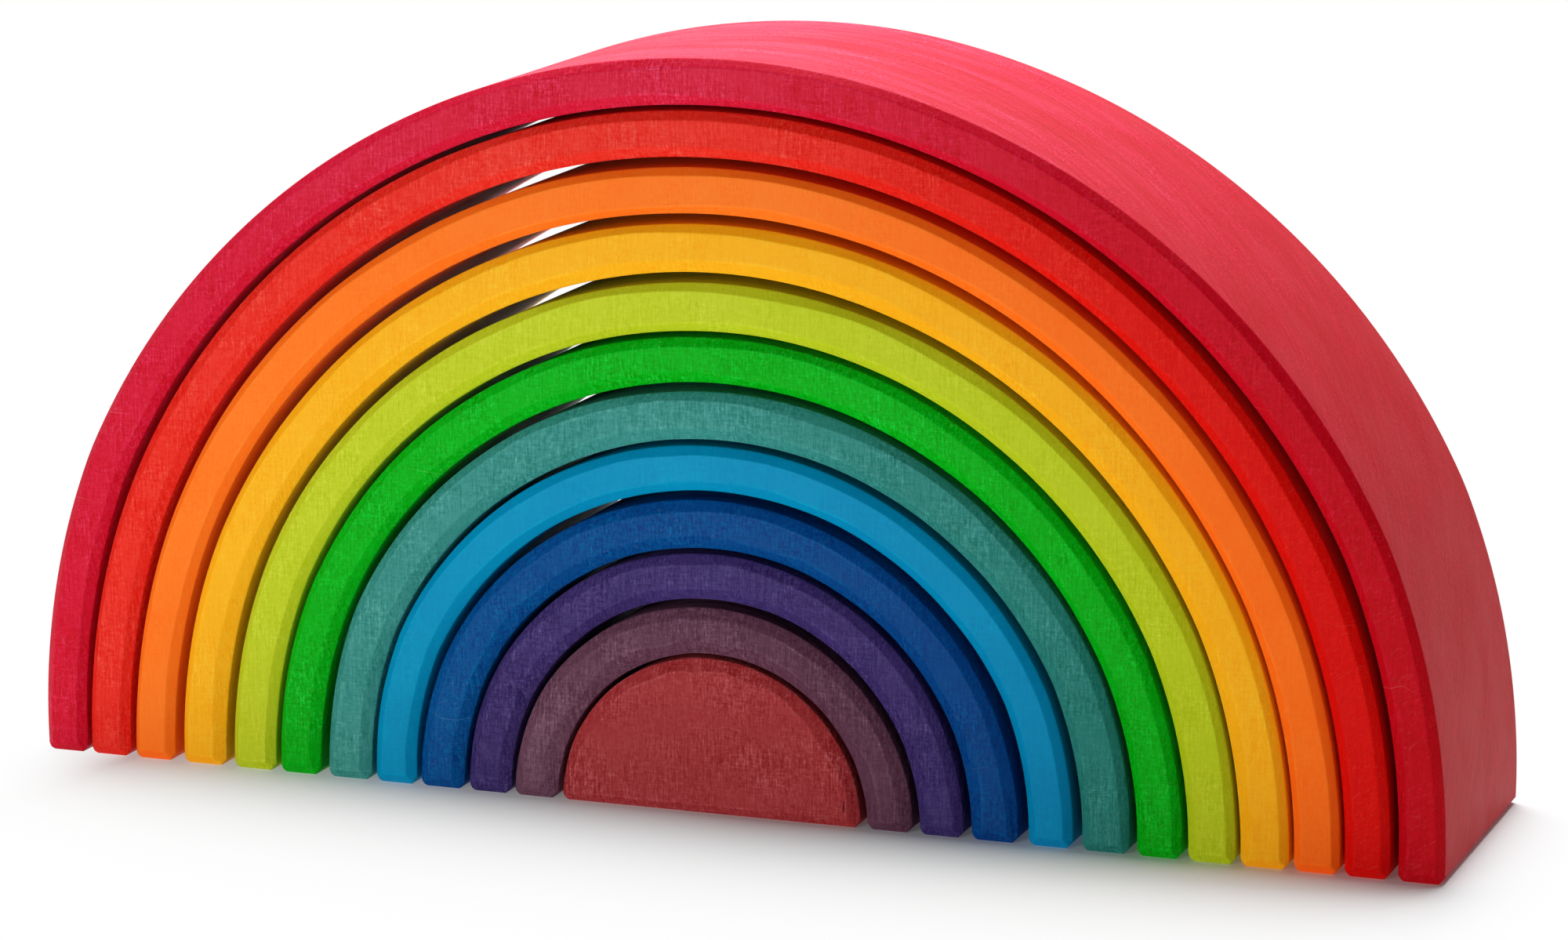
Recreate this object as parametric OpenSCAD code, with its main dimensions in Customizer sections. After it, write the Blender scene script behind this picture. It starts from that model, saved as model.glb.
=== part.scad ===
// Rainbow stacker: bevelled arches nested round a half disc, all sawn from one block of wood.
// Lengths are in millimetres. Every piece stands on Z = 0, and the front of the nest faces -Y.

/* [Nest] */
// Radius of the half disc in the middle
core_radius = 39; // [30:0.5:60]
// Thickness of an arch, measured across its curve
arch_wall = 11.8; // [8:0.1:18]
// Width of the saw cut between one piece and the next
saw_gap = 1.5; // [1:0.1:3]
// Depth of the block, from the front faces to the back faces
block_depth = 78; // [40:1:120]

/* [Bevels] */
// Width of the bevel along the outer curve of a face
outer_bevel = 2.1; // [0.5:0.1:2.5]
// Width of the bevel along the inner curve of a face
inner_bevel = 2.7; // [0.5:0.1:2.8]
// How far the bevels round a face reach back from it
bevel_depth = 1.8; // [0.5:0.1:3]
// Height of the bevel along the front and back of a foot
foot_face_bevel = 2.4; // [0.5:0.1:4]
// Width of the bevel along the two sides of a foot
foot_side_bevel = 1.8; // [0.5:0.1:2.5]

/* [Hidden] */
$fn = 180;

// Spare length that a cutting shape reaches past the wood
overrun = 1;

// The saw is guided by hand, so cuts and walls differ a little. The lists run from the middle outwards.
// Width of each cut, as a share of saw_gap
gap_shares = [0.9, 0.75, 1.1, 1.6, 0.95, 0.45, 0.95, 0.55, 0.7, 0.8, 2.05];
// Thickness of each arch, as a share of arch_wall
wall_shares = [1.01, 0.98, 1.03, 0.97, 1.03, 0.97, 1.02, 1.03, 0.97, 0.97, 0.98];
// How far each piece stands to the right of the middle, as a share of saw_gap, the half disc first
shift_shares = [-0.5, -0.35, -0.1, 0.1, 0.55, 0.9, 0.75, 0.8, 0.4, -0.05, -0.2, 0];
// How far the centre of each curve lies above the table, as a share of saw_gap, the half disc first
rise_shares = [0, -0.45, -0.05, -0.5, -0.8, -1, -0.35, -0.55, 0.25, 0.95, 1.55, 0.1];
// How far the feet of each arch turn in from its half circle, as a share of saw_gap
turn_shares = [0.2, 0.3, 0.6, 1.25, 1.3, 0.7, 1, 0.7, 0.45, 0.65, 2];
// Width of the outer bevel of each piece, as a share of outer_bevel, the half disc first
outer_bevel_shares = [1.4, 1.3, 1.05, 1.2, 1, 1, 0.95, 0.95, 0.95, 0.85, 1, 0.95];
// Width of the inner bevel of each arch, as a share of inner_bevel
inner_bevel_shares = [1.3, 1.1, 1.15, 0.9, 1.1, 0.95, 0.9, 1.15, 0.8, 0.95, 0.85];

// Angle over the table below which the feet of an arch turn in
turn_angle = 24;

// Pieces are numbered from the half disc, which is 0, to the outermost arch
function wall(n) = arch_wall * wall_shares[n - 1];
function cut(n) = saw_gap * gap_shares[n - 1];
function outer_radius(n) = n == 0 ? core_radius : outer_radius(n - 1) + cut(n) + wall(n);
function inner_radius(n) = outer_radius(n) - wall(n);
function shift(n) = saw_gap * shift_shares[n];
function rise(n) = saw_gap * rise_shares[n];

function outer_slope(n) = outer_bevel * outer_bevel_shares[n];
function inner_slope(n) = inner_bevel * inner_bevel_shares[n - 1];

// How far in a curve moves for the feet of piece n, and how far up, so that it turns in at the feet alone
function turn(n) = n == 0 ? 0 : saw_gap * turn_shares[n - 1];
function turn_up(n) = turn(n) / tan(turn_angle);

// Half the width that a curve of piece n spans where it meets the table
function half_span(n, radius) = sqrt(pow(radius, 2) - pow(rise(n) + turn_up(n), 2)) - turn(n);

// Turns a drawing in X and Z into a bar along Y
module along_depth(length) {
    rotate([90, 0, 0])
        linear_extrude(height = length, center = true)
            children();
}

// Turns a drawing in Y and Z into a bar along X
module along_length(length) {
    rotate([90, 0, 90])
        linear_extrude(height = length, center = true)
            children();
}

// Disc on an axis along Y with the outer radius of piece n, its two edges bevelled
module bevelled_disc(n) {
    face = block_depth / 2;
    shoulder = face - bevel_depth;
    outer = outer_radius(n);
    ridge = outer - outer_slope(n);
    rotate([90, 0, 0])
        rotate_extrude()
            polygon([[0, -face], [ridge, -face], [outer, -shoulder], [outer, shoulder], [ridge, face], [0, face]]);
}

// Disc on an axis along Y that cuts the inside of arch n, flared at both ends to bevel the edges
module flared_disc(n) {
    shoulder = block_depth / 2 - bevel_depth;
    end = block_depth / 2 + overrun;
    inner = inner_radius(n);
    flare = inner + inner_slope(n) * (bevel_depth + overrun) / bevel_depth;
    rotate([90, 0, 0])
        rotate_extrude()
            polygon([[0, -end], [flare, -end], [inner, -shoulder], [inner, shoulder], [flare, end], [0, end]]);
}

// A disc whose sides turn in near the table, where copies that lie further in and higher cut it
module turned_in(n) {
    intersection() {
        children();
        translate([-turn(n), 0, turn_up(n)])
            children();
        translate([turn(n), 0, turn_up(n)])
            children();
    }
}

// Space above the table, narrowed at the bottom to bevel the outer sides of both feet
module outer_side_bevels(half_width, length, height) {
    reach = length + overrun;
    slope_top = foot_side_bevel + reach - half_width;
    along_depth(block_depth + 2 * overrun)
        polygon([
            [foot_side_bevel - half_width, 0], [half_width - foot_side_bevel, 0],
            [reach, slope_top], [reach, height],
            [-reach, height], [-reach, slope_top]
        ]);
}

// Space above the table, narrowed at the bottom to bevel the front and back of both feet
module front_and_back_bevels(length, height) {
    reach = block_depth / 2 + overrun;
    flat = block_depth / 2 - bevel_depth;
    slope_top = foot_face_bevel * (bevel_depth + overrun) / bevel_depth;
    along_length(2 * (length + overrun))
        polygon([
            [-flat, 0], [flat, 0],
            [reach, slope_top], [reach, height],
            [-reach, height], [-reach, slope_top]
        ]);
}

// Wedge between the legs that bevels the inner sides of both feet
module inner_side_bevels(half_width) {
    low = half_width + foot_side_bevel + overrun;
    high = half_width - overrun;
    along_depth(block_depth + 2 * overrun)
        polygon([
            [-low, -overrun], [low, -overrun],
            [high, foot_side_bevel + overrun], [-high, foot_side_bevel + overrun]
        ]);
}

// Saws piece n off at the table and bevels its feet at the front, the back and the outside
module stood_on_table(n) {
    length = outer_radius(n);
    height = length + rise(n) + overrun;
    intersection() {
        translate([0, 0, rise(n)])
            children();
        outer_side_bevels(half_span(n, length), length, height);
        front_and_back_bevels(length, height);
    }
}

// Arch number n, where it stands in the nest
module arch(n) {
    translate([shift(n), 0, 0])
        difference() {
            stood_on_table(n)
                turned_in(n)
                    bevelled_disc(n);
            translate([0, 0, rise(n)])
                turned_in(n)
                    flared_disc(n);
            inner_side_bevels(half_span(n, inner_radius(n)));
        }
}

// Solid piece in the middle, where it stands in the nest
module half_disc() {
    translate([shift(0), 0, 0])
        stood_on_table(0)
            bevelled_disc(0);
}

module crimson_arch() { color([0.80, 0.17, 0.24]) arch(11); }
module red_arch() { color([0.89, 0.20, 0.18]) arch(10); }
module orange_arch() { color([0.97, 0.49, 0.17]) arch(9); }
module yellow_arch() { color([0.96, 0.71, 0.17]) arch(8); }
module lime_arch() { color([0.74, 0.79, 0.20]) arch(7); }
module green_arch() { color([0.08, 0.67, 0.14]) arch(6); }
module teal_arch() { color([0.25, 0.54, 0.50]) arch(5); }
module light_blue_arch() { color([0.02, 0.53, 0.70]) arch(4); }
module blue_arch() { color([0.02, 0.25, 0.48]) arch(3); }
module violet_arch() { color([0.27, 0.22, 0.41]) arch(2); }
module mauve_arch() { color([0.39, 0.27, 0.33]) arch(1); }
module core_half_disc() { color([0.59, 0.22, 0.23]) half_disc(); }

crimson_arch();
red_arch();
orange_arch();
yellow_arch();
lime_arch();
green_arch();
teal_arch();
light_blue_arch();
blue_arch();
violet_arch();
mauve_arch();
core_half_disc();
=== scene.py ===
# %% [markdown]
# A nested rainbow of stained wood
#
# The toy is twelve loose pieces of lime wood: eleven arches and a half disc. One block is sawn along
# half circles, each piece is bevelled by hand, dipped in its own stain and left without varnish.
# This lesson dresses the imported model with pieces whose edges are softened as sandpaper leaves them,
# gives each one a stained grain, and then sets up the lamps and the camera.

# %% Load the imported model
import math

import bmesh
import bpy
from mathutils import Matrix, Vector


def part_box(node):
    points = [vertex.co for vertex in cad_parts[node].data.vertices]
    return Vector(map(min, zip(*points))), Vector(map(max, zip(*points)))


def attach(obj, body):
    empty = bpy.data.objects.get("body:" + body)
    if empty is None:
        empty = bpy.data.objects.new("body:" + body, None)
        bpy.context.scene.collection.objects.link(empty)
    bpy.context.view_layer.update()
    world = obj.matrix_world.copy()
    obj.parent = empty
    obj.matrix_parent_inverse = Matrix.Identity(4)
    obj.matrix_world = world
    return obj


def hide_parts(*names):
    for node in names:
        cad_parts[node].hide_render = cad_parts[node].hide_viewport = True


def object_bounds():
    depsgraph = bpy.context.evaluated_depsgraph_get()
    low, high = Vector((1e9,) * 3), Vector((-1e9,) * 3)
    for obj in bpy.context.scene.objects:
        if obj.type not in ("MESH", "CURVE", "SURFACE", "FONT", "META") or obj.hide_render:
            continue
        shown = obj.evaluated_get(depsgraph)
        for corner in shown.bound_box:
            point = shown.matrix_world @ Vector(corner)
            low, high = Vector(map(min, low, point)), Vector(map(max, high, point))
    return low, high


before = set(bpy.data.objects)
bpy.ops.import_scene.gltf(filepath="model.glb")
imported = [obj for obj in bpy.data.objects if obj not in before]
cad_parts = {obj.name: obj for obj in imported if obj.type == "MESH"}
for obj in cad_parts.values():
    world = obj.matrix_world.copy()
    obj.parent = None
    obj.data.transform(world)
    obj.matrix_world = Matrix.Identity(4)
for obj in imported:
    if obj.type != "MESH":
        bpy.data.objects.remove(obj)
cad_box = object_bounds()
print("packed pieces:", len(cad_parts))

# %% [markdown]
# The stains
#
# Every piece is dipped in a water stain of its own. A stain is written as the colour that the eye reads
# on a front face in plain light, from 0 to 255. Some stains hide the grain and others bring it out. The
# list also holds painted shade that darkens some pieces towards their right end, and painted light that
# makes some paler at the top and others darker there.

# %% List the stains from the outside in
# Each stain also holds painted shade that darkens the piece towards its right end, and painted light that
# pales its top and darkens it where the value is below 0
STAINS = {
    "crimson": {"colour": (204, 18, 47), "grain": 0.85, "painted_shade_right": 0.42, "painted_light_top": 0.14},
    "red": {"colour": (228, 43, 31), "grain": 0.9, "painted_shade_right": 0.65, "painted_light_top": 0.08},
    "orange": {"colour": (251, 119, 30), "grain": 0.3, "painted_shade_right": 0.14, "painted_light_top": 0.0},
    "yellow": {"colour": (247, 176, 25), "grain": 0.6, "painted_shade_right": 0.08, "painted_light_top": 0.0},
    "lime": {"colour": (188, 201, 35), "grain": 0.7, "painted_shade_right": 0.14, "painted_light_top": 0.03},
    "green": {"colour": (2, 172, 20), "grain": 1.2, "painted_shade_right": 0.08, "painted_light_top": 0.04},
    "teal": {"colour": (60, 142, 133), "grain": 0.8, "painted_shade_right": 0.28, "painted_light_top": -0.04},
    "light_blue": {"colour": (0, 143, 187), "grain": 0.28, "painted_shade_right": 0.12, "painted_light_top": 0.0},
    "blue": {"colour": (1, 78, 141), "grain": 0.75, "painted_shade_right": 0.16, "painted_light_top": -0.08},
    "violet": {"colour": (63, 48, 104), "grain": 0.72, "painted_shade_right": 0.05, "painted_light_top": 0.0},
    "mauve": {"colour": (109, 71, 89), "grain": 0.8, "painted_shade_right": 0.18, "painted_light_top": -0.16},
    "dark_red": {"colour": (163, 54, 57), "grain": 1.0, "painted_shade_right": 0.02, "painted_light_top": 0.0},
}
PIECES = {f"{stain}_arch": stain for stain in STAINS if stain != "dark_red"}
PIECES["core_half_disc"] = "dark_red"
print("stains:", ", ".join(STAINS))

# %% [markdown]
# Sizes come from the frame
#
# A saw follows a half circle, and below a low angle over the table the feet of an arch turn in a little,
# along the same circle moved inwards. So a piece is known by the radius of its outer and inner cut, by
# where their middle lies, by that turn and by its bevels. All of that can be read from the corners of
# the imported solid, so nothing is typed twice and the looks follow the model when its sizes change.

# %% Measure a piece
MILLIMETRE = 0.001
TURN_ANGLE = math.radians(24)
# Corners above this share of the height lie on the plain half circle
UPPER_SHARE = 0.7


def height_of_centre(first, second, middle):
    """Height of the centre of a circle that runs through two corners, when its middle is known."""
    first_square = (first.x - middle) ** 2 + first.z ** 2
    second_square = (second.x - middle) ** 2 + second.z ** 2
    return (first_square - second_square) / (2 * (first.z - second.z))


def turn_of_foot(corner, radius):
    """How far in a circle moved that runs through a corner of the foot, given from the circle's middle."""
    lean = math.sin(TURN_ANGLE)
    ahead = corner.x - corner.y / math.tan(TURN_ANGLE)
    short = radius ** 2 - corner.length ** 2
    return lean ** 2 * (math.sqrt(ahead ** 2 + short / lean ** 2) - ahead)


def measure(node):
    """Radii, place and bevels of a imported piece, in metres."""
    near = 0.02 * MILLIMETRE
    low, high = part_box(node)
    middle = (low.x + high.x) / 2
    corners = [vertex.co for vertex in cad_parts[node].data.vertices]
    upper = [corner for corner in corners if corner.z > UPPER_SHARE * high.z]
    top = max(upper, key=lambda corner: corner.z)
    flank = max(upper, key=lambda corner: corner.x)
    centre = Vector((middle, height_of_centre(top, flank, middle)))
    reach = [(Vector((corner.x, corner.z)) - centre).length for corner in upper]
    outer = max(reach)
    face_reach = [r for corner, r in zip(upper, reach) if abs(corner.y) > high.y - near]
    shoulder = max(abs(corner.y) for corner, r in zip(upper, reach) if r > outer - near)
    widest = max(corners, key=lambda corner: corner.x)
    turn = turn_of_foot(Vector((widest.x, widest.z)) - centre, outer)
    lift = centre.y + turn / math.tan(TURN_ANGLE)
    foot_span = middle - turn + math.sqrt(outer ** 2 - lift ** 2)
    sole_edge = max(corner.x for corner in corners if corner.z < near)
    foot_face_bevel = min(corner.z for corner in corners if abs(corner.y) > high.y - near)
    is_disc = node.endswith("disc")
    return {
        "Outer Radius": outer,
        "Inner Radius": 0.0 if is_disc else min(reach),
        "Shift": middle,
        "Rise": centre.y,
        "Turn": turn,
        "Depth": high.y - low.y,
        "Outer Bevel": outer - max(face_reach),
        "Inner Bevel": foot_face_bevel if is_disc else min(face_reach) - min(reach),
        "Bevel Depth": high.y - shoulder,
        "Foot Face Bevel": foot_face_bevel,
        "Foot Side Bevel": foot_span - sole_edge,
        "Half Disc": float(is_disc),
    }


SIZES = {node: measure(node) for node in PIECES}
for node, size in SIZES.items():
    print(node, {name: round(value * 1000, 2) for name, value in size.items()})

# %% [markdown]
# Arithmetic with nodes
#
# A node tree works a number out for every point of a mesh or a surface. Wiring each sum by hand is slow
# to read, so a small class lets the lesson write such sums as ordinary arithmetic: every operator adds
# one Math node and hands back its output.

# %% Write node sums as arithmetic
def connect(tree, value, socket):
    """Links a field to a socket, or sets the socket to a plain value."""
    if isinstance(value, Field):
        tree.links.new(value.socket, socket)
    else:
        socket.default_value = value


class Field:
    """A number that a node tree works out for every point."""

    def __init__(self, tree, socket):
        self.tree = tree
        self.socket = socket

    def calc(self, operation, *values):
        node = self.tree.nodes.new("ShaderNodeMath")
        node.operation = operation
        for value, socket in zip(values, node.inputs):
            connect(self.tree, value, socket)
        return Field(self.tree, node.outputs[0])

    def __add__(self, other):
        return self.calc("ADD", self, other)

    def __radd__(self, other):
        return self.calc("ADD", other, self)

    def __sub__(self, other):
        return self.calc("SUBTRACT", self, other)

    def __rsub__(self, other):
        return self.calc("SUBTRACT", other, self)

    def __mul__(self, other):
        return self.calc("MULTIPLY", self, other)

    def __rmul__(self, other):
        return self.calc("MULTIPLY", other, self)

    def __truediv__(self, other):
        return self.calc("DIVIDE", self, other)

    def __neg__(self):
        return self.calc("MULTIPLY", self, -1.0)

    def above(self, other):
        return self.calc("GREATER_THAN", self, other)

    def below(self, other):
        return self.calc("LESS_THAN", self, other)

    def at_least(self, other):
        return self.calc("MAXIMUM", self, other)

    def at_most(self, other):
        return self.calc("MINIMUM", self, other)

    def within(self, low, high):
        return self.at_least(low).at_most(high)

    def eased_over(self, other, softness):
        return self.calc("SMOOTH_MAX", self, other, softness)

    def rising(self, start, slope, most=1.0):
        """0 up to the start, then rising to the most."""
        return ((self - start) * slope).within(0.0, most)

    def size(self):
        return self.calc("ABSOLUTE", self)

    def whole(self):
        return self.calc("FLOOR", self)

    def fraction(self):
        return self.calc("FRACT", self)

    def exponential(self):
        return self.calc("EXPONENT", self)

    def root(self):
        return self.calc("SQRT", self.at_least(0.0))

    def sine(self):
        return self.calc("SINE", self)

    def cosine(self):
        return self.calc("COSINE", self)

    def angle_over(self, other):
        return self.calc("ARCTAN2", self, other)

    def towards(self, other, share):
        return self + (other - self) * share


print("node sums are ready")

# %% [markdown]
# The sawn piece
#
# A bandsaw leaves a bar of even thickness bent into an arch, and a belt sander then breaks its edges.
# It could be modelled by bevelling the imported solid, but a bevel tool gives every edge the same perfect
# width. Here a Geometry Nodes tree sweeps a section along the arch instead, and a formula places each
# point. The section runs round four bevelled corners, and the rows near each foot draw in to make its
# bevels. Slow noise shaves a little off the cuts and the bevels, as a hand does.

# %% Choose how many points a piece has
CORNER_STEPS = 12
FACE_ROWS = 6
SIDE_ROWS = 3
ARCH_ROWS = 150
SECTION_POINTS = 2 * (2 * (CORNER_STEPS + 1) + FACE_ROWS + SIDE_ROWS)
STATIONS = ARCH_ROWS + 2 * (CORNER_STEPS + 1)
CORNER_REACH = 1.5
print("points on a section:", SECTION_POINTS, "stations along an arch:", STATIONS)


# %% Round a bevelled corner
def corner_place(step):
    """Where a row lies on a corner: 1 is the front edge of the bevel and -1 the back edge."""
    return CORNER_REACH * (1.0 - step * (2.0 / CORNER_STEPS))


def eased_corner(place, softness):
    """How far a row lies in from the side and from the face, in bevels, with the bevel's edges eased."""
    crowding = 0.24
    along = place + crowding * (place * math.pi).sine()
    from_side = ((1.0 + along) * 0.5).eased_over(0.0, softness).eased_over(along, softness)
    return from_side, from_side - along


print("corner rows:", CORNER_STEPS + 1)

# %% Start the tree with named sizes
sawn_tree = bpy.data.node_groups.new("sawn_piece", "GeometryNodeTree")
sawn_tree.interface.new_socket("Geometry", in_out="OUTPUT", socket_type="NodeSocketGeometry")
SOCKET_TYPES = {
    "Outer Radius": "NodeSocketFloat",
    "Inner Radius": "NodeSocketFloat",
    "Shift": "NodeSocketFloat",
    "Rise": "NodeSocketFloat",
    "Turn": "NodeSocketFloat",
    "Depth": "NodeSocketFloat",
    "Outer Bevel": "NodeSocketFloat",
    "Inner Bevel": "NodeSocketFloat",
    "Bevel Depth": "NodeSocketFloat",
    "Foot Face Bevel": "NodeSocketFloat",
    "Foot Side Bevel": "NodeSocketFloat",
    "Half Disc": "NodeSocketFloat",
    "Softness": "NodeSocketFloat",
    "Saw Wander": "NodeSocketFloat",
    "Bevel Wander": "NodeSocketFloat",
    "Seed": "NodeSocketInt",
    "Wood": "NodeSocketMaterial",
}
SAWN_INPUTS = {
    name: sawn_tree.interface.new_socket(name, in_out="INPUT", socket_type=kind).identifier
    for name, kind in SOCKET_TYPES.items()
}
group_input = sawn_tree.nodes.new("NodeGroupInput")
group_output = sawn_tree.nodes.new("NodeGroupOutput")


def given(name):
    """One of the tree's named inputs."""
    return Field(sawn_tree, group_input.outputs[name])


print("inputs of the tree:", ", ".join(SAWN_INPUTS))

# %% Find each point's row and station
FACE_CROWDING = 0.1

index = Field(sawn_tree, sawn_tree.nodes.new("GeometryNodeInputIndex").outputs["Index"])
station = ((index + 0.5) / float(SECTION_POINTS)).whole()
spot = index - station * float(SECTION_POINTS)
half_section = SECTION_POINTS / 2
back = spot.above(half_section - 0.5)
row = spot - back * half_section
second_corner = CORNER_STEPS + FACE_ROWS + 1.0
corner_step = (CORNER_STEPS - row).at_least(row - second_corner).within(0.0, float(CORNER_STEPS))
place = corner_place(corner_step)
straight = ((row - float(CORNER_STEPS)) / (FACE_ROWS + 1.0)).within(0.0, 1.0)
crowded = straight - FACE_CROWDING * (straight * math.tau).sine()
across = crowded.towards(1.0 - crowded, back)
beside = ((row - (second_corner + CORNER_STEPS)) / (SIDE_ROWS + 1.0)).within(0.0, 1.0)
from_foot = station.at_most((STATIONS - 1.0) - station)
foot_place = corner_place(from_foot.at_most(float(CORNER_STEPS)))
along_arch = ((station - float(CORNER_STEPS)) / (STATIONS - 1.0 - 2 * CORNER_STEPS)).within(0.0, 1.0)
print("rows found with", len(sawn_tree.nodes), "nodes")

# %% [markdown]
# Bevels and cuts made by hand
#
# The sander and the saw are guided by hand, so a bevel is wider here and narrower there, and a cut leaves
# its line by some tenths of a millimetre. Noise that pushes a finished mesh about would also push it into
# its neighbour. So the noise changes the widths that the points are placed by, and it only ever takes
# wood away at a cut: a gap can grow, but it never closes.

# %% Work out the bevels at each point
# Steps that give each piece and each edge noise of its own
SEED_STEP = 37.0
EDGE_STEP = 31.0
# Waves along the arch, and the stations over which they start above a foot
BEVEL_WAVES = 8.0
FOOT_STATIONS = 7.0


def slow_noise(along):
    """Noise from 0 to 1 that changes slowly along a piece."""
    node = sawn_tree.nodes.new("ShaderNodeTexNoise")
    node.noise_dimensions = "1D"
    node.inputs["Detail"].default_value = 1.0
    node.inputs["Scale"].default_value = 1.0
    connect(sawn_tree, along, node.inputs["W"])
    return Field(sawn_tree, node.outputs["Fac"])


softness = given("Softness")
seed = given("Seed") * SEED_STEP
edge_number = across.above(0.5) + back * 2.0
bevel_noise = slow_noise(along_arch * BEVEL_WAVES + edge_number * EDGE_STEP + seed)
clear_of_foot = ((from_foot - float(CORNER_STEPS)) / FOOT_STATIONS).within(0.0, 1.0)
bevel_change = (bevel_noise - 0.5) * 2.0 * given("Bevel Wander") * clear_of_foot
bevel = given("Outer Bevel").towards(given("Inner Bevel"), across.above(0.5)) * (1.0 + bevel_change)
side_share, face_share = eased_corner(place, softness)
from_side = bevel * side_share
from_face = given("Bevel Depth") * face_share
foot_share, height_share = eased_corner(foot_place, softness)
foot_from_face = given("Bevel Depth") * foot_share
foot_height = given("Foot Face Bevel") * height_share
on_sole = given("Bevel Depth") * (foot_share - 1.0).at_least(0.0)
print("bevels worked out with", len(sawn_tree.nodes), "nodes")

# %% Let the saw waver along its cuts
SAW_WAVES = 7.0
# Where the noise of each cut starts, so that the two differ
OUTER_START = 5.0
INNER_START = 55.0

outer_noise = slow_noise(along_arch * SAW_WAVES + seed + OUTER_START)
inner_noise = slow_noise(along_arch * SAW_WAVES + seed + INNER_START)
outer_radius = given("Outer Radius")
inner_radius = given("Inner Radius")
outer_cut = outer_radius - from_side - given("Saw Wander") * outer_noise
inner_cut = inner_radius + from_side + given("Saw Wander") * inner_noise
print("cuts worked out with", len(sawn_tree.nodes), "nodes")

# %% Bend a cut round the arch
rise = given("Rise")
turn = given("Turn")


def side_bevel(height):
    """How far the bevel along the side of a foot draws in at some height."""
    slope = given("Foot Side Bevel")
    return (slope - height).eased_over(0.0, softness * slope)


def reach_at(radius, height):
    """Half the width of a curve at some height on a foot, below its turn."""
    over_centre = height - rise - turn * (1 / math.tan(TURN_ANGLE))
    return (radius * radius - over_centre * over_centre).root() - turn


def round_the_arch(radius, lowest):
    """Sideways place and height of a point on a curve that starts and ends at one height on its feet."""
    start = (lowest - rise).angle_over(reach_at(radius, lowest))
    angle = start.towards(math.pi - start, along_arch)
    over_table = angle.at_most(math.pi - angle)
    along = turn * (over_table - TURN_ANGLE).sine() * (1 / math.sin(TURN_ANGLE))
    moved = turn * (1 / math.sin(TURN_ANGLE))
    moved_reach = along + (radius * radius - moved * moved + along * along).root()
    reach = radius.at_most(moved_reach)
    return reach * angle.cosine(), rise + reach * angle.sine()


print("the feet turn in below", round(math.degrees(TURN_ANGLE)), "degrees")

# %% Place the points of an arch
radius = outer_cut.towards(inner_cut, across)
arch_x, arch_z = round_the_arch(radius, foot_height)
side = 1.0 - 2.0 * along_arch.above(0.5)
drawn_in = side_bevel(arch_z) + on_sole
outermost = reach_at(outer_radius, arch_z) - drawn_in
innermost = reach_at(inner_radius, arch_z) + drawn_in
on_foot = from_foot.below(CORNER_STEPS + 0.5)
trimmed = arch_x.size().at_most(outermost).at_least(innermost) * side
arch_x = arch_x.towards(trimmed, on_foot)
arch_y = given("Depth") * 0.5 - from_face.at_least(foot_from_face)
print("arch placed with", len(sawn_tree.nodes), "nodes")

# %% [markdown]
# The half disc
#
# The piece in the middle has no inner cut and is flat underneath. It could have a tree of its own, but
# the same section serves when its inner corners are laid along the sole instead of along an inner curve.
# So one tree makes all twelve pieces.

# %% Place the points of the half disc
sole_height = given("Inner Bevel") * side_share
rim_side = given("Outer Bevel") * side_share * (1.0 + bevel_change)
rim_cut = outer_radius - rim_side - given("Saw Wander") * outer_noise
rim_x, rim_z = round_the_arch(rim_cut, foot_height.at_least(sole_height))
rim_limit = reach_at(outer_radius, rim_z) - side_bevel(rim_z)
rim_x = rim_x.towards(rim_x.size().at_most(rim_limit) * side, on_foot)
sole_limit = reach_at(outer_radius, sole_height) - side_bevel(sole_height)
sole_side = 1.0 - 2.0 * (-rim_x).above(0.0)
sole_x = rim_x.size().at_most(sole_limit) * sole_side
disc_x = rim_x.towards(sole_x, across)
disc_z = rim_z.towards(sole_height, across)
disc_y = given("Depth") * 0.5 - from_face
print("half disc placed with", len(sawn_tree.nodes), "nodes")

# %% [markdown]
# Marks for the stain
#
# Sawn sides, sanded bevels and the edges between them take a stain differently. A material could look for
# edges by how sharp they are and would miss the soft ones. The tree places every row itself and knows
# which is which, so it stores that at each point, and the wood reads it later.

# %% Mark the edges, the bevels and the sawn sides
def arris(place):
    """1 on the two edges of a bevel, fading to 0 a little way off."""
    fade = 0.5
    return (1.0 - ((place.size() - 1.0).size() / fade)).at_least(0.0)


def bevelled(place):
    """1 on the slope of a bevel and 0 off it."""
    edge = 1.15
    fade = 0.3
    return ((edge - place.size()) / fade).within(0.0, 1.0)


def sawn(place):
    """1 on the sawn sides of a piece and 0 on its sanded bevels and faces."""
    edge = 1.05
    fade = 0.3
    return ((-place - edge) / fade).within(0.0, 1.0)


MARKS = {
    "arris": arris(place).at_least(arris(foot_place)),
    "bevelled": bevelled(place).at_least(bevelled(foot_place)),
    "sawn": sawn(place),
}
print("marks:", ", ".join(MARKS))

# %% Sweep the section and finish the tree
JOIN_DISTANCE = 0.01 * MILLIMETRE


def add_node(kind, **inputs):
    """Adds a node to the tree of the sawn piece and sets its inputs by name."""
    node = sawn_tree.nodes.new(kind)
    for name, value in inputs.items():
        connect(sawn_tree, value, node.inputs[name.replace("_", " ")])
    return node


def geometry_of(node, name="Geometry"):
    return Field(sawn_tree, node.outputs[name])


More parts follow.
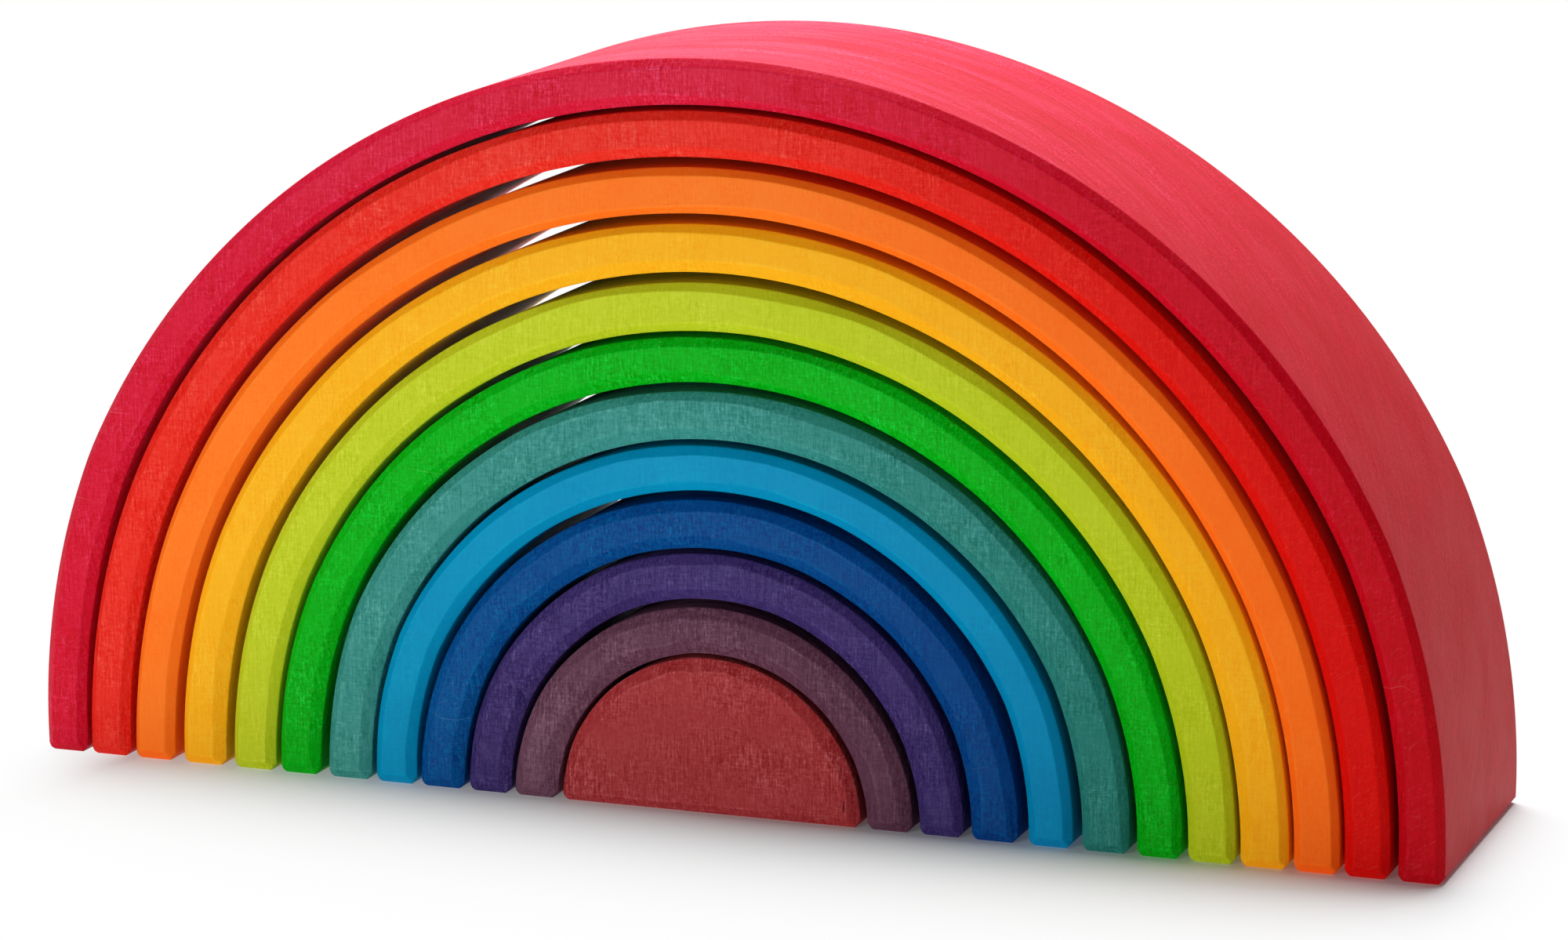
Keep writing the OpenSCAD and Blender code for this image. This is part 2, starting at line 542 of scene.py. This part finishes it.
half_disc = given("Half Disc")
facing = (2.0 * back - 1.0) * (1.0 - 2.0 * beside)
point_place = add_node(
    "ShaderNodeCombineXYZ",
    X=given("Shift") + arch_x.towards(disc_x, half_disc),
    Y=arch_y.towards(disc_y, half_disc) * facing,
    Z=arch_z.towards(disc_z, half_disc),
)
path = add_node("GeometryNodeCurvePrimitiveLine")
stations = add_node("GeometryNodeResampleCurve", Curve=geometry_of(path, "Curve"), Count=STATIONS)
ring = add_node("GeometryNodeCurvePrimitiveCircle", Resolution=SECTION_POINTS)
sweep = add_node(
    "GeometryNodeCurveToMesh",
    Curve=geometry_of(stations, "Curve"),
    Profile_Curve=geometry_of(ring, "Curve"),
    Fill_Caps=1.0 - half_disc,
)
outwards = add_node("GeometryNodeFlipFaces", Mesh=geometry_of(sweep, "Mesh"))
marked = geometry_of(outwards, "Mesh")
for name, value in MARKS.items():
    store = add_node("GeometryNodeStoreNamedAttribute", Geometry=marked, Name=name, Value=value)
    marked = geometry_of(store)
shaped = add_node(
    "GeometryNodeSetPosition",
    Geometry=marked,
    Position=Field(sawn_tree, point_place.outputs["Vector"]),
)
closed = add_node("GeometryNodeMergeByDistance", Geometry=geometry_of(shaped), Distance=JOIN_DISTANCE)
smooth = add_node("GeometryNodeSetShadeSmooth", Geometry=geometry_of(closed))
real = add_node("GeometryNodeRealizeInstances", Geometry=geometry_of(smooth))
stained = add_node("GeometryNodeSetMaterial", Geometry=geometry_of(real), Material=given("Wood"))
connect(sawn_tree, geometry_of(stained), group_output.inputs["Geometry"])
print("the tree of a sawn piece has", len(sawn_tree.nodes), "nodes")

# %% [markdown]
# Stained lime wood
#
# Lime is a pale, even wood, and a stain colours it like a filter: where more of it soaks in, the colour
# grows deeper and fuller instead of merely darker. So the material holds one colour and works out how
# much stain each point drank. The fibres run along the block and show as short fine lines, sanding leaves
# a faint hatch across them, like linen, and growth rings lie aslant and show as thin stripes where the
# saw cuts across them. Pale streaks run over the tops, and a few thin cracks follow the fibres on the
# faces. A picture of wood would repeat and stretch round the arch, so the grain is noise in the block's
# own space.

# %% Turn a colour that the eye reads into light
def to_light(colour):
    """A colour from 0 to 255 as linear light, by the sRGB curve."""
    shares = [level / 255 for level in colour]
    return [s / 12.92 if s <= 0.04045 else ((s + 0.055) / 1.055) ** 2.4 for s in shares]


print("red as light:", [round(x, 3) for x in to_light(STAINS["red"]["colour"])])


# %% Make noise with grains of a given size
def grain(tree, position, size, detail=3.0, roughness=0.55):
    """Noise whose grains have this length, depth and height in millimetres."""
    scale = tree.nodes.new("ShaderNodeVectorMath")
    scale.operation = "MULTIPLY"
    tree.links.new(position, scale.inputs[0])
    scale.inputs[1].default_value = [1 / (length * MILLIMETRE) for length in size]
    noise = tree.nodes.new("ShaderNodeTexNoise")
    noise.inputs["Scale"].default_value = 1.0
    noise.inputs["Detail"].default_value = detail
    noise.inputs["Roughness"].default_value = roughness
    tree.links.new(scale.outputs["Vector"], noise.inputs["Vector"])
    return Field(tree, noise.outputs["Fac"])


def stored(tree, name):
    """A number that the sawn piece keeps at each of its points."""
    attribute = tree.nodes.new("ShaderNodeAttribute")
    attribute.attribute_name = name
    return Field(tree, attribute.outputs["Fac"])


def mixed(tree, first, second, share):
    """Two colours mixed by a field."""
    mix = tree.nodes.new("ShaderNodeMix")
    mix.data_type = "RGBA"
    connect(tree, share, mix.inputs["Factor"])
    for colour, socket in zip((first, second), mix.inputs[6:8]):
        if isinstance(colour, bpy.types.NodeSocket):
            tree.links.new(colour, socket)
        else:
            socket.default_value = (*colour, 1.0)
    return mix.outputs[2]


print("grain sizes are in millimetres")

# %% Grow the grain of one piece
RING_SLANT = math.radians(45)
SCRATCH_SLANT = math.radians(35)
CRACK_SPACING = 22 * MILLIMETRE
CRACK_WOBBLE = 0.45
# How far apart in the grain two pieces lie, in metres
BLOCK_STEP = (0.37, 0.53, 0.71)


def turned(tree, position, angles):
    """A place in the block, turned by three angles."""
    turning = tree.nodes.new("ShaderNodeMapping")
    turning.inputs["Rotation"].default_value = angles
    tree.links.new(position, turning.inputs["Vector"])
    return turning.outputs["Vector"]


def wood_grain(tree, texture, number):
    """Noise from 0 to 1 for each feature of the wood, in the part of the block that a piece comes from."""
    block = tree.nodes.new("ShaderNodeMapping")
    block.inputs["Location"].default_value = [step * number for step in BLOCK_STEP]
    tree.links.new(texture.outputs["Object"], block.inputs["Vector"])
    position = block.outputs["Vector"]
    aslant = turned(tree, position, (RING_SLANT, 0.0, 0.0))
    askew = turned(tree, position, (0.0, SCRATCH_SLANT, 0.0))
    apart = tree.nodes.new("ShaderNodeSeparateXYZ")
    tree.links.new(position, apart.inputs["Vector"])
    crack_row = Field(tree, apart.outputs["Z"]) / CRACK_SPACING
    crack_noise = grain(tree, position, (16, 30, 30), detail=2.0)
    return {
        "clouds": grain(tree, position, (26, 14, 18)),
        "patches": grain(tree, position, (14, 12, 12), detail=2.0),
        "fibres": grain(tree, position, (3.0, 0.6, 0.5), roughness=0.7),
        "hatch": grain(tree, position, (0.5, 1.5, 6.0), roughness=0.7),
        "short hatch": grain(tree, position, (0.5, 0.8, 1.2), detail=2.0),
        "rings": grain(tree, aslant, (120, 0.9, 40), detail=2.0),
        "streaks": grain(tree, position, (70, 5, 30)),
        "scratches": grain(tree, askew, (1.8, 0.7, 0.4), detail=2.0),
        "crack rows": crack_row + crack_noise * CRACK_WOBBLE,
        "crack places": grain(tree, position, (24, 30, 20), detail=1.0),
        "rubbed places": grain(tree, position, (18, 18, 18), detail=2.0),
    }


print("growth rings lie at", round(math.degrees(RING_SLANT)), "degrees")

# %% Work out how much stain the wood drank, with painted shade and light
# How much each feature adds to the stain or takes from it
STAIN_CHANGES = {
    "clouds": 0.2,
    "streaks": 0.22,
    "weave": 0.75,
    "cracks": 0.35,
    "rubbed": 0.2,
    "bevelled": 0.04,
}
LEAST_STAIN = 0.3
MOST_STAIN = 2.0


def stain_drunk(tree, texture, wood, stain, weave, cracks):
    """How much stain each point drank, with painted shade and light: 1 gives the colour as written."""
    place = tree.nodes.new("ShaderNodeSeparateXYZ")
    tree.links.new(texture.outputs["Object"], place.inputs["Vector"])
    reach = stain["reach"]
    to_right = (Field(tree, place.outputs["X"]) / reach).within(0.0, 1.0)
    crown = (Field(tree, place.outputs["Z"]) / reach).within(0.0, 1.0)
    sawn_side = stored(tree, "sawn")
    streaks = wood["streaks"].rising(start=0.35, slope=4.0) * crown * crown * sawn_side
    rubbed = stored(tree, "arris") * wood["rubbed places"].rising(start=0.4, slope=3.0)
    # Painted shade deepens the colour towards the right end; painted light pales the crown, and darkens it
    # where the value is below 0
    drunk = 1.0 + to_right * stain["painted_shade_right"] - crown * crown * stain["painted_light_top"]
    drunk = drunk + (wood["clouds"] - 0.5) * STAIN_CHANGES["clouds"]
    drunk = drunk + (wood["rings"] - 0.5) * sawn_side * stain["grain"]
    drunk = drunk + stored(tree, "bevelled") * STAIN_CHANGES["bevelled"]
    paler = {"streaks": streaks, "weave": weave, "cracks": cracks, "rubbed": rubbed}
    for name, places in paler.items():
        drunk = drunk - places * STAIN_CHANGES[name]
    return drunk.within(LEAST_STAIN, MOST_STAIN)


print("changes to the stain:", STAIN_CHANGES)

# %% Weave the fine marks
LEAST_GRAIN = 0.4
HATCH_WEIGHT = 1.4
# As a share of the spacing between rows of cracks
CRACK_HALF_WIDTH = 0.004


def linen(wood, stain):
    """How strong the grain is at each point, and the weave of fibres and sanding marks."""
    strength = (LEAST_GRAIN + wood["patches"].rising(start=0.3, slope=2.5, most=1.2)) * stain["grain"]
    middle = (2.0 + HATCH_WEIGHT) / 2
    weave = (wood["fibres"] + HATCH_WEIGHT * wood["hatch"] + wood["short hatch"] - middle) * strength
    return strength, weave


def fine_cracks(tree, wood, stain):
    """1 on thin cracks that follow the fibres on the faces, where a stain brings out the grain."""
    from_crack = (wood["crack rows"].fraction() - 0.5).size()
    line = (1.0 - (from_crack / CRACK_HALF_WIDTH).at_most(1.0)) * (1.0 - stored(tree, "sawn"))
    strength = min(1.0, max(0.0, 3.0 * (stain["grain"] - 0.5)))
    return line * wood["crack places"].rising(start=0.6, slope=10.0) * strength


print("cracks are", round(2 * CRACK_HALF_WIDTH * CRACK_SPACING / MILLIMETRE, 2), "mm wide")

# %% Mix the wood for one stain
BARE_WOOD = (0.85, 0.72, 0.52)
SCRATCH_SHOW = 0.028
CRACK_SHOW = 0.1
ROUGHNESS = 0.45
CLOUD_ROUGHNESS = 0.15
PATCH_ROUGHNESS = 0.1
BUMP_STRENGTH = 0.35
BUMP_HEIGHT = 0.2 * MILLIMETRE
SHINE = 0.05


def stained_wood(name, stain, number):
    """Lime wood in one stain, with grain of its own."""
    material = bpy.data.materials.new(name)
    material.use_nodes = True
    tree = material.node_tree
    shader = tree.nodes["Principled BSDF"]
    texture = tree.nodes.new("ShaderNodeTexCoord")
    wood = wood_grain(tree, texture, number)
    strength, weave = linen(wood, stain)
    cracks = fine_cracks(tree, wood, stain)
    scratches = wood["scratches"].rising(start=0.58, slope=6.0) * strength

    filtered = tree.nodes.new("ShaderNodeGamma")
    filtered.inputs["Color"].default_value = (*to_light(stain["colour"]), 1.0)
    connect(tree, stain_drunk(tree, texture, wood, stain, weave, cracks), filtered.inputs["Gamma"])
    bare = scratches * SCRATCH_SHOW + cracks * CRACK_SHOW
    colour = mixed(tree, filtered.outputs["Color"], BARE_WOOD, bare)
    tree.links.new(colour, shader.inputs["Base Color"])

    roughness = ROUGHNESS + (wood["clouds"] - 0.5) * CLOUD_ROUGHNESS
    roughness = roughness + (wood["patches"] - 0.5) * PATCH_ROUGHNESS
    connect(tree, roughness, shader.inputs["Roughness"])
    bump = tree.nodes.new("ShaderNodeBump")
    bump.inputs["Strength"].default_value = BUMP_STRENGTH
    bump.inputs["Distance"].default_value = BUMP_HEIGHT
    connect(tree, weave + scratches - cracks, bump.inputs["Height"])
    tree.links.new(bump.outputs["Normal"], shader.inputs["Normal"])
    shader.inputs["Specular IOR Level"].default_value = SHINE
    return material


WOODS = {}
for number, (node, stain) in enumerate(PIECES.items(), start=1):
    reach = SIZES[node]["Outer Radius"]
    WOODS[stain] = stained_wood(f"{stain}_stain", {**STAINS[stain], "reach": reach}, number)
print("stained woods:", len(WOODS))

# %% [markdown]
# Twelve pieces from one tree
#
# The same tree makes all twelve pieces: only the sizes, the seed and the stain differ. The result is
# made a plain mesh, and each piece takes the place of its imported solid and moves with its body.

# %% Close a mesh
def seal(mesh):
    """Merges points that fell together, fills what they leave open and turns all faces outwards."""
    work = bmesh.new()
    work.from_mesh(mesh)
    bmesh.ops.remove_doubles(work, verts=work.verts, dist=JOIN_DISTANCE)
    bmesh.ops.dissolve_degenerate(work, edges=work.edges, dist=JOIN_DISTANCE)
    rims = [edge for edge in work.edges if edge.is_boundary]
    bmesh.ops.holes_fill(work, edges=rims)
    bmesh.ops.recalc_face_normals(work, faces=work.faces)
    still_open = sum(not edge.is_manifold for edge in work.edges)
    work.to_mesh(mesh)
    work.free()
    return still_open


print("points closer than", round(JOIN_DISTANCE / MILLIMETRE, 3), "mm are joined")


# %% Saw and stain the pieces
def sawn_piece(node, stain, number):
    """A finished piece in the place of a packed one."""
    piece = bpy.data.objects.new(f"stained_{node}", bpy.data.meshes.new(f"stained_{node}"))
    bpy.context.scene.collection.objects.link(piece)
    saw = piece.modifiers.new("saw", "NODES")
    saw.node_group = sawn_tree
    finish = {
        "Softness": 0.13,
        "Saw Wander": 0.4 * MILLIMETRE,
        "Bevel Wander": 0.4,
        "Seed": number,
        "Wood": WOODS[stain],
    }
    for name, value in {**SIZES[node], **finish}.items():
        saw[SAWN_INPUTS[name]] = value
    graph = bpy.context.evaluated_depsgraph_get()
    mesh = bpy.data.meshes.new_from_object(piece.evaluated_get(graph), depsgraph=graph)
    piece.modifiers.clear()
    still_open = seal(mesh)
    piece.data = mesh
    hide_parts(node)
    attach(piece, node)
    print(piece.name, len(mesh.vertices), "points,", still_open, "open edges")


for number, (node, stain) in enumerate(PIECES.items(), start=1):
    sawn_piece(node, stain, number)

# %% [markdown]
# Floor and backdrop
#
# The toy stands on a white table that runs into a white wall. A diffuse floor catches the shadow, and
# what the camera sees of it is lifted to white within a hand's breadth of the toy's footprint, so that
# the shadow stays close to the feet and no edge of the floor shows. That lift is painted light, and it
# is stronger on the left, so the shadow is painted paler there. A lit table also throws light up, so the
# floor glows a little for everything but the camera.

# %% Shape the shadow on the floor
SHADOW_REACH = 31 * MILLIMETRE
SHADOW_MIDDLE = 12 * MILLIMETRE
SHADOW_HALF_LENGTH = 170 * MILLIMETRE
END_FADE = 3.0
SHADOW_DEPTH = 0.93
DEEPEST_SHADOW = 0.95
# For each metre to the right; the painted lift of the shadow is stronger on the left
DEEPER_TO_RIGHT = 1.5


def seen_directly(tree):
    """1 for what the camera sees, also in a mirror or through glass, and 0 for other light."""
    path = tree.nodes.new("ShaderNodeLightPath")
    seen = Field(tree, path.outputs["Is Camera Ray"])
    seen = seen.at_least(Field(tree, path.outputs["Is Glossy Ray"]))
    return seen.at_least(Field(tree, path.outputs["Is Transmission Ray"]))


def shadow_kept(tree):
    """How much of its shadow the floor keeps; the rest is painted over with white, more on the left."""
    texture = tree.nodes.new("ShaderNodeTexCoord")
    place = tree.nodes.new("ShaderNodeSeparateXYZ")
    tree.links.new(texture.outputs["Object"], place.inputs["Vector"])
    sideways = Field(tree, place.outputs["X"])
    beside = ((sideways - SHADOW_MIDDLE).size() - SHADOW_HALF_LENGTH).at_least(0.0) * END_FADE
    before = (Field(tree, place.outputs["Y"]).size() - cad_box[1][1]).at_least(0.0)
    away = (beside * beside + before * before).root()
    depth = (SHADOW_DEPTH + sideways * DEEPER_TO_RIGHT).at_most(DEEPEST_SHADOW)
    return (away * (-1.0 / SHADOW_REACH)).exponential() * depth


print("the shadow fades over", round(SHADOW_REACH / MILLIMETRE), "mm")

# %% Lay the floor
FLOOR_PAINT = (0.85, 0.89, 0.9, 1.0)
LIGHT_FROM_BELOW = 0.18


def lifted_floor():
    """White floor that keeps its shadow near the toy and goes to plain white further out."""
    material = bpy.data.materials.new("white_floor")
    material.use_nodes = True
    tree = material.node_tree
    tree.nodes.clear()
    output = tree.nodes.new("ShaderNodeOutputMaterial")
    paint = tree.nodes.new("ShaderNodeBsdfDiffuse")
    paint.inputs["Color"].default_value = FLOOR_PAINT
    glow = tree.nodes.new("ShaderNodeEmission")
    seen = seen_directly(tree)
    mix = tree.nodes.new("ShaderNodeMixShader")
    connect(tree, seen * (1.0 - shadow_kept(tree)), mix.inputs["Fac"])
    tree.links.new(paint.outputs["BSDF"], mix.inputs[1])
    tree.links.new(glow.outputs["Emission"], mix.inputs[2])
    from_below = tree.nodes.new("ShaderNodeEmission")
    connect(tree, (1.0 - seen) * LIGHT_FROM_BELOW, from_below.inputs["Strength"])
    both = tree.nodes.new("ShaderNodeAddShader")
    tree.links.new(mix.outputs["Shader"], both.inputs[0])
    tree.links.new(from_below.outputs["Emission"], both.inputs[1])
    tree.links.new(both.outputs["Shader"], output.inputs["Surface"])
    return material


bpy.ops.mesh.primitive_circle_add(vertices=96, radius=3.0, fill_type="NGON", location=(0, 0, 0))
floor = bpy.context.object
floor.name = "white_table"
floor.data.materials.append(lifted_floor())
print("floor laid")

# %% Paint the backdrop
DIM_LIGHT = 0.07

world = bpy.data.worlds.new("white_studio")
bpy.context.scene.world = world
world.use_nodes = True
sky = world.node_tree
sky.nodes.clear()
sky_output = sky.nodes.new("ShaderNodeOutputWorld")
dim = sky.nodes.new("ShaderNodeBackground")
dim.inputs["Strength"].default_value = DIM_LIGHT
white = sky.nodes.new("ShaderNodeBackground")
for background in (dim, white):
    background.inputs["Color"].default_value = (1.0, 1.0, 1.0, 1.0)
sky_mix = sky.nodes.new("ShaderNodeMixShader")
connect(sky, seen_directly(sky), sky_mix.inputs["Fac"])
sky.links.new(dim.outputs["Background"], sky_mix.inputs[1])
sky.links.new(white.outputs["Background"], sky_mix.inputs[2])
sky.links.new(sky_mix.outputs["Shader"], sky_output.inputs["Surface"])
print("backdrop painted")

# %% [markdown]
# Lamps
#
# A wide softbox above and behind makes the tops glow and throws a soft shadow forwards. A second one
# stands low in front, a little to the left, so that it lights the faces and leaves the bevels on the
# right dark.

# %% Hang the softboxes
TOY_MIDDLE = Vector((0.0, 0.0, 0.08))


def softbox(name, place, width, height, power):
    """A rectangular lamp turned towards the toy."""
    lamp = bpy.data.lights.new(name, "AREA")
    lamp.shape = "RECTANGLE"
    lamp.size = width
    lamp.size_y = height
    lamp.energy = power
    holder = bpy.data.objects.new(name, lamp)
    holder.location = place
    holder.rotation_euler = (TOY_MIDDLE - Vector(place)).to_track_quat("-Z", "Y").to_euler()
    bpy.context.scene.collection.objects.link(holder)


softbox("softbox_above", place=(-0.06, 0.45, 1.2), width=1.2, height=0.8, power=26.0)
softbox("softbox_front", place=(-0.33, -0.95, 0.09), width=0.5, height=0.25, power=5.5)

# %% [markdown]
# Camera
#
# The picture looks at the front from the right and a little above, through a long lens. The place and
# the turn were worked out from the edges of the saw cuts, which are circles of known size.

# %% Set up the camera
CAMERA_PLACE = Vector((0.44436, -1.17887, 0.34774))
AZIMUTH = math.radians(20.448)
ELEVATION = math.radians(12.092)
ROLL = math.radians(-0.225)
LENS = 120.1

right = Vector((math.cos(AZIMUTH), math.sin(AZIMUTH), 0.0))
backward = Vector((
    math.sin(AZIMUTH) * math.cos(ELEVATION),
    -math.cos(AZIMUTH) * math.cos(ELEVATION),
    math.sin(ELEVATION),
))
upward = backward.cross(right)
turned_right = right * math.cos(ROLL) + upward * math.sin(ROLL)
turned_up = upward * math.cos(ROLL) - right * math.sin(ROLL)
lens = bpy.data.cameras.new("photo_camera")
lens.lens = LENS
lens.sensor_fit = "HORIZONTAL"
lens.sensor_width = 36.0
camera = bpy.data.objects.new("photo_camera", lens)
camera_turn = Matrix((turned_right, turned_up, backward)).transposed()
camera.matrix_world = Matrix.Translation(CAMERA_PLACE) @ camera_turn.to_4x4()
bpy.context.scene.collection.objects.link(camera)
bpy.context.scene.camera = camera
bpy.context.scene.view_settings.view_transform = "Standard"
print("camera stands", round(CAMERA_PLACE.length, 2), "m away")
